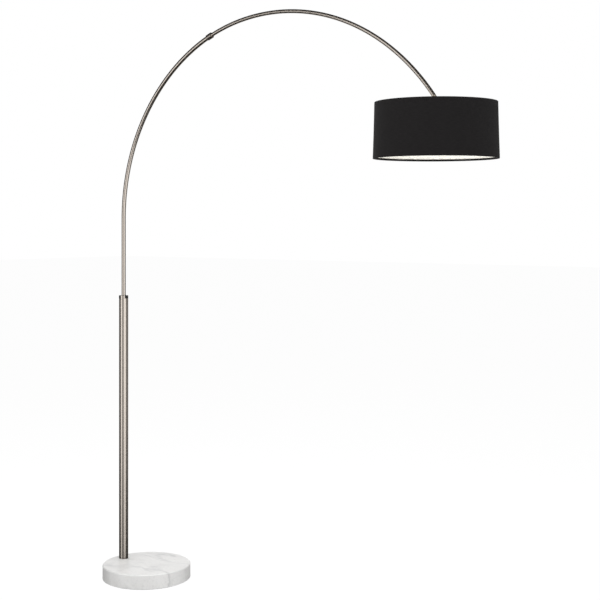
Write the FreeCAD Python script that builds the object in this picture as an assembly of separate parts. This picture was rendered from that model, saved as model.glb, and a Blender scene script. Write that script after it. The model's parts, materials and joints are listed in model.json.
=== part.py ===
import FreeCAD, Part
import math
import os
from collections import namedtuple

# Arc floor lamp: a marble disc carries an upright post near its rim, and a two-piece telescopic
# arm arches from the post to a drum shade.
# Frame: +Z up, +X from the post towards the shade, origin at the centre of the underside.
# Lengths are in millimetres, angles in degrees.

# ---- base ----
BASE_DIAMETER = 325.0
MARBLE_THICKNESS = 52.0
MARBLE_TOP_CHAMFER = 3.0
MARBLE_FOOT_CHAMFER = 1.5
PAD_THICKNESS = 2.0
PAD_MARGIN = 6.0
RECESS_RADIUS = 26.0
RECESS_DEPTH = 24.0
WASHER_RADIUS = 22.0
WASHER_THICKNESS = 3.0
STUD_RADIUS = 10.0
STUD_BORE_RADIUS = 5.0
STUD_END_BELOW_NUT = 3.0
NUT_ACROSS_FLATS = 30.0
NUT_HEIGHT = 9.0
LEAD_CHANNEL_WIDTH = 9.0
LEAD_HOLE_RADIUS = 3.25
GROMMET_LENGTH = 12.0

# ---- post ----
POST_SETBACK = 120.0
POST_DIAMETER = 35.0
POST_WALL = 1.5
POST_HEIGHT = 994.0
FOOT_PLUG_HEIGHT = 35.0
BUSH_LUGS = 3
BUSH_LUG_DEG = 62.0
BUSH_LUG_HEIGHT = 11.0
BUSH_LUG_PROUD = 0.2
BUSH_LENGTH = 40.0

# ---- arm ----
ARM_DIAMETER = 16.0
ARM_WALL = 0.8
STEM_INSERT = 300.0
ARM_RISE = 290.0
LOWER_ARC_RADIUS = 708.5
OUTER_ARC_RADIUS = 793.0
ARC_CHANGE_DEG = 80.0
ARC_END_DEG = 144.7
COLLAR_DEG = 67.0
COLLAR_LENGTH = 22.0
COLLAR_WALL = 2.5
COLLAR_LIP = 2.0
TUBE_OVERLAP_DEG = 22.0
GUIDE_PLUG_FLANGE = 4.0
GUIDE_PLUG_SPIGOT = 12.0
GUIDE_PLUG_HOLE_RADIUS = 4.0
GRUB_SCREW_RADIUS = 2.0
GRUB_SCREW_PROUD = 0.6
GRUB_SOCKET_ACROSS_FLATS = 2.0
GRUB_SOCKET_DEPTH = 1.4

# ---- swivel stop, inside the post ----
SWIVEL_LIMIT_DEG = 90.0
SEAT_FLOOR = 10.0
SEAT_WALL_HEIGHT = 25.0
SEAT_HOLE_RADIUS = 5.0
STOP_PIN_RADIUS = 2.0
STOP_PIN_HEIGHT = 18.0
STOP_PIN_REACH = 3.5
STOP_SLOT_FLOOR = 14.0

# ---- tilt knuckle at the arm's end ----
KNUCKLE_RADIUS = 8.0
TONGUE_THICKNESS = 7.0
TONGUE_WIDTH = 11.0
TUBE_END_TO_PIVOT = 13.0
TONGUE_SHOULDER = 2.5
TONGUE_SPIGOT = 15.0
CHEEK_THICKNESS = 3.0
CHEEK_GAP = 0.3
FORK_HUB_RADIUS = 9.0
FORK_HUB_DROP = 10.0
FORK_HUB_HEIGHT = 8.0
TILT_SCREW_RADIUS = 2.5
TILT_SCREW_HEAD_RADIUS = 4.5
TILT_SCREW_HEAD_HEIGHT = 2.5
TILT_SCREW_SLOT = 1.2
TILT_NUT_ACROSS_FLATS = 8.0
TILT_NUT_HEIGHT = 4.0

# ---- lamp holder and bulb ----
NIPPLE_RADIUS = 5.0
NIPPLE_BORE_RADIUS = 3.5
NIPPLE_IN_CAP = 8.5
LOCK_NUT_ACROSS_FLATS = 14.0
LOCK_NUT_HEIGHT = 3.5
BULB_CAP_RADIUS = 13.3
SCREW_SHELL_WALL = 0.8
SCREW_SHELL_LENGTH = 28.0
HOLDER_LINING = 1.0
HOLDER_WALL = 1.5
HOLDER_SHOULDER = 1.7
HOLDER_CAP_HEIGHT = 12.5
HOLDER_CAP_WALL = 1.2
HOLDER_CAP_TOP_RADIUS = 9.0
HOLDER_BODY_HEIGHT = 28.0
HOLDER_SKIRT_HEIGHT = 18.0
INSULATOR_HEIGHT = 14.0
CONTACT_HEIGHT = 3.0
CONTACT_RADIUS = 4.0
BULB_DIAMETER = 60.0
BULB_LENGTH = 109.0
BULB_CAP_LENGTH = 24.0
BULB_TIP_LENGTH = 3.0
BULB_GLASS_WALL = 1.0
BULB_NECK_LENGTH = 10.0

# ---- rotary switch on the lamp holder ----
SWITCH_SHAFT_RADIUS = 2.0
SWITCH_SHAFT_INNER_Y = 8.0
SWITCH_KNOB_RADIUS = 6.5
SWITCH_KNOB_LENGTH = 14.0
SWITCH_KNOB_STANDOFF = 2.0
SWITCH_KNOB_FLUTES = 10
SWITCH_FLUTE_RADIUS = 1.0

# ---- shade ----
SHADE_BOTTOM_DIAMETER = 396.0
SHADE_TOP_DIAMETER = 386.0
SHADE_HEIGHT = 177.0
SHADE_TOP_DROP = 10.5
FABRIC_THICKNESS = 0.8
LINER_THICKNESS = 0.8
HEM_HEIGHT = 6.5
RIM_WIRE_RADIUS = 1.5
SPIDER_ARMS = 3
SPIDER_HUB_WIDTH = 3.5
SPIDER_HUB_THICKNESS = 2.4
SPIDER_WELD_DEPTH = 1.0
SHADE_RING_WIDTH = 5.5
SHADE_RING_HEIGHT = 8.0
SHADE_RING_NOTCHES = 12
SHADE_RING_NOTCH_RADIUS = 1.5

# ---- clearances ----
FIXED_GAP = 0.05
RUNNING_GAP = 0.1
LOOSE_GAP = 0.3

# ---- places worked out from the sizes above ----
V = FreeCAD.Vector
UP = V(0, 0, 1)
ACROSS = V(0, 1, 0)
BASE_TOP = PAD_THICKNESS + MARBLE_THICKNESS
POST_TOP = BASE_TOP + POST_HEIGHT
POST_RADIUS = POST_DIAMETER / 2
POST_BORE = POST_RADIUS - POST_WALL
POST_X = -POST_SETBACK
ARM_RADIUS = ARM_DIAMETER / 2
ARM_BORE = ARM_RADIUS - ARM_WALL
UPPER_RADIUS = ARM_BORE - LOOSE_GAP
UPPER_BORE = UPPER_RADIUS - ARM_WALL
COLLAR_RADIUS = ARM_RADIUS + COLLAR_WALL
STEM_BOTTOM = POST_TOP - STEM_INSERT

Arc = namedtuple("Arc", "x z radius")
LOWER_ARC = Arc(POST_X + LOWER_ARC_RADIUS, POST_TOP + ARM_RISE, LOWER_ARC_RADIUS)
RADIUS_STEP = OUTER_ARC_RADIUS - LOWER_ARC_RADIUS
OUTER_ARC = Arc(
    LOWER_ARC.x + RADIUS_STEP * math.cos(math.radians(ARC_CHANGE_DEG)),
    LOWER_ARC.z - RADIUS_STEP * math.sin(math.radians(ARC_CHANGE_DEG)),
    OUTER_ARC_RADIUS,
)


def arc_point(arc, deg):
    """The point of the arm's centreline at an angle counted from the arc's post side."""
    turn = math.radians(deg)
    return V(arc.x - arc.radius * math.cos(turn), 0, arc.z + arc.radius * math.sin(turn))


def arc_direction(deg):
    """The arm's direction, away from the post, at that angle."""
    turn = math.radians(deg)
    return V(math.sin(turn), 0, math.cos(turn))


def arc_outward(deg):
    """The direction from the arc's centre through the arm at that angle."""
    turn = math.radians(deg)
    return V(-math.cos(turn), 0, math.sin(turn))


def arc_degrees(arc, length):
    """The angle that a length of the arm takes on an arc."""
    return math.degrees(length / arc.radius)


PIVOT = arc_point(OUTER_ARC, ARC_END_DEG)
SHADE_X = PIVOT.x
FORK_HUB_TOP = PIVOT.z - FORK_HUB_DROP
FORK_HUB_FOOT = FORK_HUB_TOP - FORK_HUB_HEIGHT
HOLDER_TOP = FORK_HUB_FOOT - LOCK_NUT_HEIGHT
HOLDER_CAP_FOOT = HOLDER_TOP - HOLDER_CAP_HEIGHT
HOLDER_SHOULDER_Z = HOLDER_CAP_FOOT - HOLDER_BODY_HEIGHT
HOLDER_MOUTH = HOLDER_SHOULDER_Z - HOLDER_SKIRT_HEIGHT
SCREW_SHELL_BORE = BULB_CAP_RADIUS + RUNNING_GAP
SCREW_SHELL_RADIUS = SCREW_SHELL_BORE + SCREW_SHELL_WALL
HOLDER_BORE = SCREW_SHELL_RADIUS + HOLDER_LINING
SKIRT_RADIUS = HOLDER_BORE + HOLDER_WALL
HOLDER_RADIUS = SKIRT_RADIUS + HOLDER_SHOULDER
INSULATOR_FOOT = HOLDER_CAP_FOOT - INSULATOR_HEIGHT
SWITCH_Z = HOLDER_CAP_FOOT - INSULATOR_HEIGHT / 2
BULB_TIP_TOP = INSULATOR_FOOT - CONTACT_HEIGHT
BULB_CAP_TOP = BULB_TIP_TOP - BULB_TIP_LENGTH
BULB_CAP_FOOT = BULB_CAP_TOP - BULB_CAP_LENGTH
SHADE_TOP = PIVOT.z - SHADE_TOP_DROP
SHADE_FOOT = SHADE_TOP - SHADE_HEIGHT
SPIDER_HUB_BORE = SKIRT_RADIUS + RUNNING_GAP
SPIDER_HUB_RADIUS = SPIDER_HUB_BORE + SPIDER_HUB_WIDTH
SPIDER_HUB_FOOT = HOLDER_SHOULDER_Z - SPIDER_HUB_THICKNESS


def rod(radius, start, end):
    """A round bar between two points."""
    along = end - start
    return Part.makeCylinder(radius, along.Length, start, along)


def ring(outer, inner, foot, top, x=0.0):
    """A plain upright tube or washer."""
    start = V(x, 0, foot)
    end = V(x, 0, top)
    return rod(outer, start, end).cut(rod(inner, start - UP, end + UP))


def ring_face(centre, normal, outer, inner):
    """A flat round face, with a round hole where inner is not zero."""
    wires = [Part.Wire(Part.makeCircle(outer, centre, normal))]
    if inner > 0:
        wires.append(Part.Wire(Part.makeCircle(inner, centre, normal)))
    return Part.makeFace(wires, "Part::FaceMakerBullseye")


def arc_tube(arc, start_deg, end_deg, outer, inner=0.0):
    """A tube, or a bar, bent along an arc of the arm."""
    face = ring_face(arc_point(arc, start_deg), arc_direction(start_deg), outer, inner)
    return face.revolve(V(arc.x, 0, arc.z), ACROSS, end_deg - start_deg)


def turned(points, x):
    """A solid turned about the upright axis at x, from the (radius, z) points of its outline."""
    outline = Part.makePolygon([V(x + r, 0, z) for r, z in points + points[:1]])
    return Part.Face(outline).revolve(V(x, 0, 0), UP, 360)


def hexagon(across_flats, start, height, direction=UP):
    """A six-sided bar that starts at a point."""
    corner = across_flats / 2 / math.cos(math.radians(30))
    points = []
    for i in range(7):
        turn = math.radians(60 * i)
        points.append(V(corner * math.cos(turn), corner * math.sin(turn), 0))
    bar = Part.Face(Part.makePolygon(points)).extrude(V(0, 0, height))
    bar.Placement = FreeCAD.Placement(start, FreeCAD.Rotation(UP, direction))
    return bar


def nut(across_flats, bore, start, height, direction=UP):
    """A hexagon nut with a plain bore."""
    hole = rod(bore, start - direction, start + direction * (height + 1))
    return hexagon(across_flats, start, height, direction).cut(hole)


def sector(radius, start_deg, sweep_deg, foot, top, x):
    """A pie slice about the upright axis at x."""
    size = top - foot
    return Part.makeCylinder(radius, size, V(x, 0, foot), UP, sweep_deg).rotate(
        V(x, 0, 0), UP, start_deg
    )


# ---- base ----
def lead_channel(foot, top):
    """The straight channel from the recess under the post to the rear rim."""
    rear = -BASE_DIAMETER
    return Part.makeBox(
        POST_X - rear, LEAD_CHANNEL_WIDTH, top - foot, V(rear, -LEAD_CHANNEL_WIDTH / 2, foot)
    )


def marble_base():
    radius = BASE_DIAMETER / 2
    foot = PAD_THICKNESS
    outline = [
        (0, foot),
        (radius - MARBLE_FOOT_CHAMFER, foot),
        (radius, foot + MARBLE_FOOT_CHAMFER),
        (radius, BASE_TOP - MARBLE_TOP_CHAMFER),
        (radius - MARBLE_TOP_CHAMFER, BASE_TOP),
        (0, BASE_TOP),
    ]
    disc = turned(outline, 0)
    recess = rod(RECESS_RADIUS, V(POST_X, 0, 0), V(POST_X, 0, foot + RECESS_DEPTH))
    stud_hole = rod(STUD_RADIUS + LOOSE_GAP, V(POST_X, 0, 0), V(POST_X, 0, BASE_TOP + 1))
    channel = lead_channel(0, foot + LEAD_CHANNEL_WIDTH)
    return disc.cut(recess.fuse([stud_hole, channel]))


def base_pad():
    pad = rod(BASE_DIAMETER / 2 - PAD_MARGIN, V(0, 0, 0), V(0, 0, PAD_THICKNESS))
    opening = rod(RECESS_RADIUS, V(POST_X, 0, -1), V(POST_X, 0, PAD_THICKNESS + 1))
    return pad.cut(opening.fuse(lead_channel(-1, PAD_THICKNESS + 1)))


def cable_grommet():
    """A square rubber block that fills the channel at the rim, with the hole for the lead."""
    rear = -math.sqrt((BASE_DIAMETER / 2 - MARBLE_FOOT_CHAMFER) ** 2 - LEAD_CHANNEL_WIDTH**2 / 4)
    side = LEAD_CHANNEL_WIDTH - 2 * FIXED_GAP
    block = Part.makeBox(GROMMET_LENGTH, side, side, V(rear, -side / 2, PAD_THICKNESS))
    middle = PAD_THICKNESS + side / 2
    hole = rod(LEAD_HOLE_RADIUS, V(rear - 1, 0, middle), V(rear + GROMMET_LENGTH + 1, 0, middle))
    return block.cut(hole)


WASHER_TOP = PAD_THICKNESS + RECESS_DEPTH
NUT_TOP = WASHER_TOP - WASHER_THICKNESS


def base_washer():
    return ring(WASHER_RADIUS, STUD_RADIUS + LOOSE_GAP, NUT_TOP, WASHER_TOP, POST_X)


def base_nut():
    foot = V(POST_X, 0, NUT_TOP - NUT_HEIGHT)
    return nut(NUT_ACROSS_FLATS, STUD_RADIUS + FIXED_GAP, foot, NUT_HEIGHT)


def base_stud():
    foot = NUT_TOP - NUT_HEIGHT - STUD_END_BELOW_NUT
    return ring(STUD_RADIUS, STUD_BORE_RADIUS, foot, BASE_TOP + FOOT_PLUG_HEIGHT, POST_X)


# ---- post ----
def post_foot_plug():
    top = BASE_TOP + FOOT_PLUG_HEIGHT
    return ring(POST_BORE - FIXED_GAP, STUD_RADIUS + FIXED_GAP, BASE_TOP, top, POST_X)


def bush_lugs(radius, extra_deg, foot, top):
    """The pie slices, evenly spaced from +X, that key the top bush into the post."""
    slices = []
    sweep = BUSH_LUG_DEG + extra_deg
    for i in range(BUSH_LUGS):
        middle = 360 / BUSH_LUGS * i
        slices.append(sector(radius, middle - sweep / 2, sweep, foot, top, POST_X))
    return slices[0].fuse(slices[1:])


def post_tube():
    tube = ring(POST_RADIUS, POST_BORE, BASE_TOP, POST_TOP, POST_X)
    side_gap = 2 * math.degrees(FIXED_GAP / POST_RADIUS)
    slots = bush_lugs(POST_DIAMETER, side_gap, POST_TOP - BUSH_LUG_HEIGHT, POST_TOP + 1)
    return tube.cut(slots)


def post_top_bush():
    sleeve = rod(POST_BORE - FIXED_GAP, V(POST_X, 0, POST_TOP - BUSH_LENGTH), V(POST_X, 0, POST_TOP))
    lug_foot = POST_TOP - BUSH_LUG_HEIGHT + FIXED_GAP
    lugs = bush_lugs(POST_RADIUS + BUSH_LUG_PROUD, 0, lug_foot, POST_TOP)
    bore = rod(ARM_RADIUS + RUNNING_GAP, V(POST_X, 0, STEM_BOTTOM), V(POST_X, 0, POST_TOP + 1))
    return sleeve.fuse(lugs).cut(bore).removeSplitter()


def stem_seat_bush():
    """The cup that the arm stands on, with a slot that stops the swivel at both ends."""
    foot = V(POST_X, 0, STEM_BOTTOM - SEAT_FLOOR)
    seat = V(POST_X, 0, STEM_BOTTOM - RUNNING_GAP)
    top = V(POST_X, 0, STEM_BOTTOM + SEAT_WALL_HEIGHT)
    cup = rod(POST_BORE - FIXED_GAP, foot, top)
    cup = cup.cut(rod(ARM_RADIUS + RUNNING_GAP, seat, top + UP))
    cup = cup.cut(rod(SEAT_HOLE_RADIUS, foot - UP, top))
    slot_radius = ARM_RADIUS + STOP_PIN_REACH + LOOSE_GAP
    pin_deg = math.degrees(math.asin((STOP_PIN_RADIUS + RUNNING_GAP) / ARM_RADIUS))
    sweep = 2 * (SWIVEL_LIMIT_DEG + pin_deg)
    floor = STEM_BOTTOM + STOP_SLOT_FLOOR
    slot = sector(slot_radius, 180 - sweep / 2, sweep, floor, top.z + 1, POST_X)
    return cup.cut(slot)


# ---- lower arm ----
def stop_pin(radius, inner, outer):
    height = STEM_BOTTOM + STOP_PIN_HEIGHT
    return rod(radius, V(POST_X - inner, 0, height), V(POST_X - outer, 0, height))


def swivel_stop_pin():
    return stop_pin(STOP_PIN_RADIUS, ARM_BORE - 2, ARM_RADIUS + STOP_PIN_REACH)


def lower_arm_tube():
    straight = ring(ARM_RADIUS, ARM_BORE, STEM_BOTTOM, LOWER_ARC.z, POST_X)
    bend = arc_tube(LOWER_ARC, 0, COLLAR_DEG, ARM_RADIUS, ARM_BORE)
    hole = stop_pin(STOP_PIN_RADIUS + FIXED_GAP, 0, POST_RADIUS)
    return straight.fuse(bend).cut(hole)


COLLAR_HALF_DEG = arc_degrees(LOWER_ARC, COLLAR_LENGTH / 2)
COLLAR_END_DEG = COLLAR_DEG + COLLAR_HALF_DEG
COLLAR_LIP_DEG = COLLAR_END_DEG - arc_degrees(LOWER_ARC, COLLAR_LIP)
GRUB_SCREW_DEG = (COLLAR_DEG + COLLAR_LIP_DEG) / 2


def grub_screw_bar(radius, inner, outer):
    """A bar through the collar's wall on the side that faces the arc's centre."""
    middle = arc_point(LOWER_ARC, GRUB_SCREW_DEG)
    inward = arc_outward(GRUB_SCREW_DEG) * -1
    return rod(radius, middle + inward * inner, middle + inward * outer)


def joint_collar():
    start = COLLAR_DEG - COLLAR_HALF_DEG
    bore = ARM_RADIUS + FIXED_GAP
    body = arc_tube(LOWER_ARC, start, COLLAR_LIP_DEG, COLLAR_RADIUS, bore)
    lip_bore = UPPER_RADIUS + LOOSE_GAP
    lip = arc_tube(LOWER_ARC, COLLAR_LIP_DEG, COLLAR_END_DEG, COLLAR_RADIUS, lip_bore)
    hole = grub_screw_bar(GRUB_SCREW_RADIUS + FIXED_GAP, ARM_BORE, 2 * COLLAR_RADIUS)
    return body.fuse(lip).cut(hole).removeSplitter()


def collar_bush():
    end = COLLAR_LIP_DEG - arc_degrees(LOWER_ARC, FIXED_GAP)
    return arc_tube(LOWER_ARC, COLLAR_DEG, end, ARM_RADIUS, UPPER_RADIUS + RUNNING_GAP)


def collar_grub_screw():
    outer = COLLAR_RADIUS + GRUB_SCREW_PROUD
    screw = grub_screw_bar(GRUB_SCREW_RADIUS, ARM_RADIUS + FIXED_GAP, outer)
    inward = arc_outward(GRUB_SCREW_DEG) * -1
    mouth = arc_point(LOWER_ARC, GRUB_SCREW_DEG) + inward * (outer - GRUB_SOCKET_DEPTH)
    return screw.cut(hexagon(GRUB_SOCKET_ACROSS_FLATS, mouth, GRUB_SOCKET_DEPTH + 1, inward))


# ---- upper arm ----
INNER_END_DEG = COLLAR_DEG - TUBE_OVERLAP_DEG
TUBE_END_DEG = ARC_END_DEG - arc_degrees(OUTER_ARC, TUBE_END_TO_PIVOT)


def upper_arm_tube():
    inner_arc = arc_tube(LOWER_ARC, INNER_END_DEG, ARC_CHANGE_DEG, UPPER_RADIUS, UPPER_BORE)
    outer_arc = arc_tube(OUTER_ARC, ARC_CHANGE_DEG, TUBE_END_DEG, UPPER_RADIUS, UPPER_BORE)
    return inner_arc.fuse(outer_arc)


def slide_guide_plug():
    """The nylon plug in the upper tube's hidden end, whose flange runs in the lower tube."""
    flange_start = INNER_END_DEG - arc_degrees(LOWER_ARC, GUIDE_PLUG_FLANGE)
    spigot_end = INNER_END_DEG + arc_degrees(LOWER_ARC, GUIDE_PLUG_SPIGOT)
    hole = GUIDE_PLUG_HOLE_RADIUS
    flange = arc_tube(LOWER_ARC, flange_start, INNER_END_DEG, ARM_BORE - RUNNING_GAP, hole)
    spigot = arc_tube(LOWER_ARC, INNER_END_DEG, spigot_end, UPPER_BORE - FIXED_GAP, hole)
    return flange.fuse(spigot)


def across_bar(radius, start_y, end_y):
    """A round bar along Y on the tilt pivot's axis."""
    return rod(radius, V(PIVOT.x, start_y, PIVOT.z), V(PIVOT.x, end_y, PIVOT.z))


def arm_end_tongue():
    spigot_start = TUBE_END_DEG - arc_degrees(OUTER_ARC, TONGUE_SPIGOT)
    shoulder_end = TUBE_END_DEG + arc_degrees(OUTER_ARC, TONGUE_SHOULDER)
    spigot = arc_tube(OUTER_ARC, spigot_start, TUBE_END_DEG, UPPER_BORE - FIXED_GAP)
    shoulder = arc_tube(OUTER_ARC, TUBE_END_DEG, shoulder_end, UPPER_RADIUS)
    half = TONGUE_THICKNESS / 2
    eye = across_bar(KNUCKLE_RADIUS, -half, half)
    start = arc_point(OUTER_ARC, (TUBE_END_DEG + shoulder_end) / 2)
    along = PIVOT - start
    sideways = V(along.z, 0, -along.x).normalize() * (TONGUE_WIDTH / 2)
    lift = V(0, half, 0)
    corners = [start - sideways, start + sideways, PIVOT + sideways, PIVOT - sideways]
    corners.append(corners[0])
    web = Part.Face(Part.makePolygon([c - lift for c in corners])).extrude(lift * 2)
    hole = across_bar(TILT_SCREW_RADIUS + RUNNING_GAP, -POST_RADIUS, POST_RADIUS)
    return spigot.fuse([shoulder, eye, web]).cut(hole).removeSplitter()


# ---- shade head ----
CHEEK_INNER = TONGUE_THICKNESS / 2 + CHEEK_GAP
CHEEK_OUTER = CHEEK_INNER + CHEEK_THICKNESS


def fork_cheek(side):
    """One rounded ear of the fork, on the side of Y that the sign gives."""
    eye = across_bar(KNUCKLE_RADIUS, side * CHEEK_INNER, side * CHEEK_OUTER)
    low_y = min(side * CHEEK_INNER, side * CHEEK_OUTER)
    drop = FORK_HUB_DROP + 1
    corner = V(PIVOT.x - KNUCKLE_RADIUS, low_y, PIVOT.z - drop)
    web = Part.makeBox(2 * KNUCKLE_RADIUS, CHEEK_THICKNESS, drop, corner)
    return eye.fuse(web)


def tilt_fork():
    hub = rod(FORK_HUB_RADIUS, V(SHADE_X, 0, FORK_HUB_FOOT), V(SHADE_X, 0, FORK_HUB_TOP))
    fork = hub.fuse([fork_cheek(1), fork_cheek(-1)])
    pin_hole = across_bar(TILT_SCREW_RADIUS + FIXED_GAP, -POST_RADIUS, POST_RADIUS)
    nipple_hole = rod(
        NIPPLE_RADIUS + FIXED_GAP, V(SHADE_X, 0, FORK_HUB_FOOT - 1), V(SHADE_X, 0, FORK_HUB_TOP + 1)
    )
    return fork.cut(pin_hole.fuse(nipple_hole)).removeSplitter()


def tilt_screw():
    end = CHEEK_OUTER + TILT_NUT_HEIGHT + 1
    head_end = CHEEK_OUTER + TILT_SCREW_HEAD_HEIGHT
    shank = across_bar(TILT_SCREW_RADIUS, -CHEEK_OUTER, end)
    head = across_bar(TILT_SCREW_HEAD_RADIUS, -head_end, -CHEEK_OUTER)
    slot_corner = V(PIVOT.x - TILT_SCREW_HEAD_RADIUS, -head_end, PIVOT.z - TILT_SCREW_SLOT / 2)
    slot = Part.makeBox(2 * TILT_SCREW_HEAD_RADIUS, TILT_SCREW_SLOT, TILT_SCREW_SLOT, slot_corner)
    return shank.fuse(head).cut(slot)


def tilt_nut():
    start = V(PIVOT.x, CHEEK_OUTER, PIVOT.z)
    bore = TILT_SCREW_RADIUS + FIXED_GAP
    return nut(TILT_NUT_ACROSS_FLATS, bore, start, TILT_NUT_HEIGHT, ACROSS)


def holder_nipple():
    foot = HOLDER_TOP - NIPPLE_IN_CAP
    return ring(NIPPLE_RADIUS, NIPPLE_BORE_RADIUS, foot, FORK_HUB_TOP - 1, SHADE_X)


def nipple_nuts():
    """One nut between the fork and the cap, and one under the cap's crown."""
    upper = HOLDER_TOP
    lower = HOLDER_TOP - HOLDER_CAP_WALL - LOCK_NUT_HEIGHT
    bore = NIPPLE_RADIUS + FIXED_GAP
    nuts = [nut(LOCK_NUT_ACROSS_FLATS, bore, V(SHADE_X, 0, z), LOCK_NUT_HEIGHT) for z in (upper, lower)]
    return Part.makeCompound(nuts)


def holder_cap():
    """The conical metal cap over the lamp holder."""
    wall = HOLDER_CAP_WALL
    crown = HOLDER_CAP_TOP_RADIUS
    outline = [
        (NIPPLE_RADIUS + FIXED_GAP, HOLDER_TOP),
        (crown, HOLDER_TOP),
        (HOLDER_RADIUS, HOLDER_CAP_FOOT),
        (HOLDER_RADIUS - 2 * wall, HOLDER_CAP_FOOT),
        (crown, HOLDER_TOP - wall),
        (NIPPLE_RADIUS + FIXED_GAP, HOLDER_TOP - wall),
    ]
    return turned(outline, SHADE_X)


def switch_hole(radius):
    """The bar along -Y that clears the switch's shaft."""
    far = HOLDER_RADIUS + SWITCH_KNOB_LENGTH
    inner = SWITCH_SHAFT_INNER_Y - RUNNING_GAP
    return rod(radius, V(SHADE_X, -inner, SWITCH_Z), V(SHADE_X, -far, SWITCH_Z))


def holder_shell():
    outline = [
        (HOLDER_BORE, HOLDER_CAP_FOOT),
        (HOLDER_RADIUS, HOLDER_CAP_FOOT),
        (HOLDER_RADIUS, HOLDER_SHOULDER_Z),
        (SKIRT_RADIUS, HOLDER_SHOULDER_Z),
        (SKIRT_RADIUS, HOLDER_MOUTH),
        (HOLDER_BORE, HOLDER_MOUTH),
    ]
    return turned(outline, SHADE_X).cut(switch_hole(SWITCH_SHAFT_RADIUS + LOOSE_GAP))


def holder_insulator():
    radius = HOLDER_BORE - FIXED_GAP
    block = rod(radius, V(SHADE_X, 0, INSULATOR_FOOT), V(SHADE_X, 0, HOLDER_CAP_FOOT))
    return block.cut(switch_hole(SWITCH_SHAFT_RADIUS + RUNNING_GAP))


def holder_screw_shell():
    foot = INSULATOR_FOOT - SCREW_SHELL_LENGTH
    return ring(SCREW_SHELL_RADIUS, SCREW_SHELL_BORE, foot, INSULATOR_FOOT, SHADE_X)


def centre_contact():
    axis = V(SHADE_X, 0, INSULATOR_FOOT)
    return Part.makeCone(CONTACT_RADIUS, CONTACT_RADIUS / 2, CONTACT_HEIGHT, axis, UP * -1)


def bulb_contact():
    axis = V(SHADE_X, 0, BULB_CAP_TOP)
    return Part.makeCone(BULB_CAP_RADIUS * 0.6, CONTACT_RADIUS, BULB_TIP_LENGTH, axis, UP)


def bulb_cap():
    """The bulb's metal screw cap, with a cup floor that carries its contact."""
    wall = BULB_GLASS_WALL
    outline = [
        (0, BULB_CAP_TOP),
        (BULB_CAP_RADIUS, BULB_CAP_TOP),
        (BULB_CAP_RADIUS, BULB_CAP_FOOT),
        (BULB_CAP_RADIUS - wall, BULB_CAP_FOOT),
        (BULB_CAP_RADIUS - wall, BULB_CAP_TOP - wall),
        (0, BULB_CAP_TOP - wall),
    ]
    return turned(outline, SHADE_X)


def bulb_side(neck, ball, bottom, top):
    """One side of the bulb's outline: a straight neck, a smooth shoulder and a half-round ball."""
    ball_middle = bottom + ball
    neck_end = top - BULB_NECK_LENGTH
    rise = (neck_end - ball_middle) / 2
    x = SHADE_X
    shoulder = Part.BezierCurve()
    shoulder.setPoles(
        [
            V(x + neck, 0, neck_end),
            V(x + neck, 0, neck_end - rise),
            V(x + ball, 0, ball_middle + rise),
            V(x + ball, 0, ball_middle),
        ]
    )
    slope = math.sqrt(0.5) * ball
    side = V(x + slope, 0, ball_middle - slope)
    ball_arc = Part.Arc(V(x + ball, 0, ball_middle), side, V(x, 0, bottom))
    neck_line = Part.LineSegment(V(x + neck, 0, top), V(x + neck, 0, neck_end))
    return [neck_line.toShape(), shoulder.toShape(), ball_arc.toShape()]


def bulb_glass():
    """A thin pear-shaped globe, open at the neck inside the cap."""
    wall = BULB_GLASS_WALL
    neck = BULB_CAP_RADIUS - wall - FIXED_GAP
    ball = BULB_DIAMETER / 2
    bottom = BULB_TIP_TOP - BULB_LENGTH
    top = BULB_CAP_FOOT + BULB_NECK_LENGTH / 2
    outside = bulb_side(neck, ball, bottom, top)
    inside = bulb_side(neck - wall, ball - wall, bottom + wall, top)
    rim = Part.LineSegment(V(SHADE_X + neck - wall, 0, top), V(SHADE_X + neck, 0, top)).toShape()
    end = Part.LineSegment(V(SHADE_X, 0, bottom), V(SHADE_X, 0, bottom + wall)).toShape()
    outline = Part.Wire(Part.__sortEdges__([rim, end] + outside + inside))
    return Part.Face(outline).revolve(V(SHADE_X, 0, 0), UP, 360)


def shade_ring():
    """The threaded ring that holds the spider's hub against the holder's shoulder."""
    bore = SKIRT_RADIUS + RUNNING_GAP
    outer = bore + SHADE_RING_WIDTH
    foot = SPIDER_HUB_FOOT - SHADE_RING_HEIGHT
    body = ring(outer, bore, foot, SPIDER_HUB_FOOT, SHADE_X)
    notches = []
    for i in range(SHADE_RING_NOTCHES):
        turn = math.radians(360 / SHADE_RING_NOTCHES * i)
        x = SHADE_X + outer * math.cos(turn)
        y = outer * math.sin(turn)
        notches.append(rod(SHADE_RING_NOTCH_RADIUS, V(x, y, foot - 1), V(x, y, SPIDER_HUB_FOOT + 1)))
    return body.cut(notches[0].fuse(notches[1:]))


# ---- switch ----
def switch_shaft():
    outer = HOLDER_RADIUS + SWITCH_KNOB_STANDOFF + SWITCH_KNOB_LENGTH / 2
    start = V(SHADE_X, -SWITCH_SHAFT_INNER_Y, SWITCH_Z)
    return rod(SWITCH_SHAFT_RADIUS, start, V(SHADE_X, -outer, SWITCH_Z))


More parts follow.
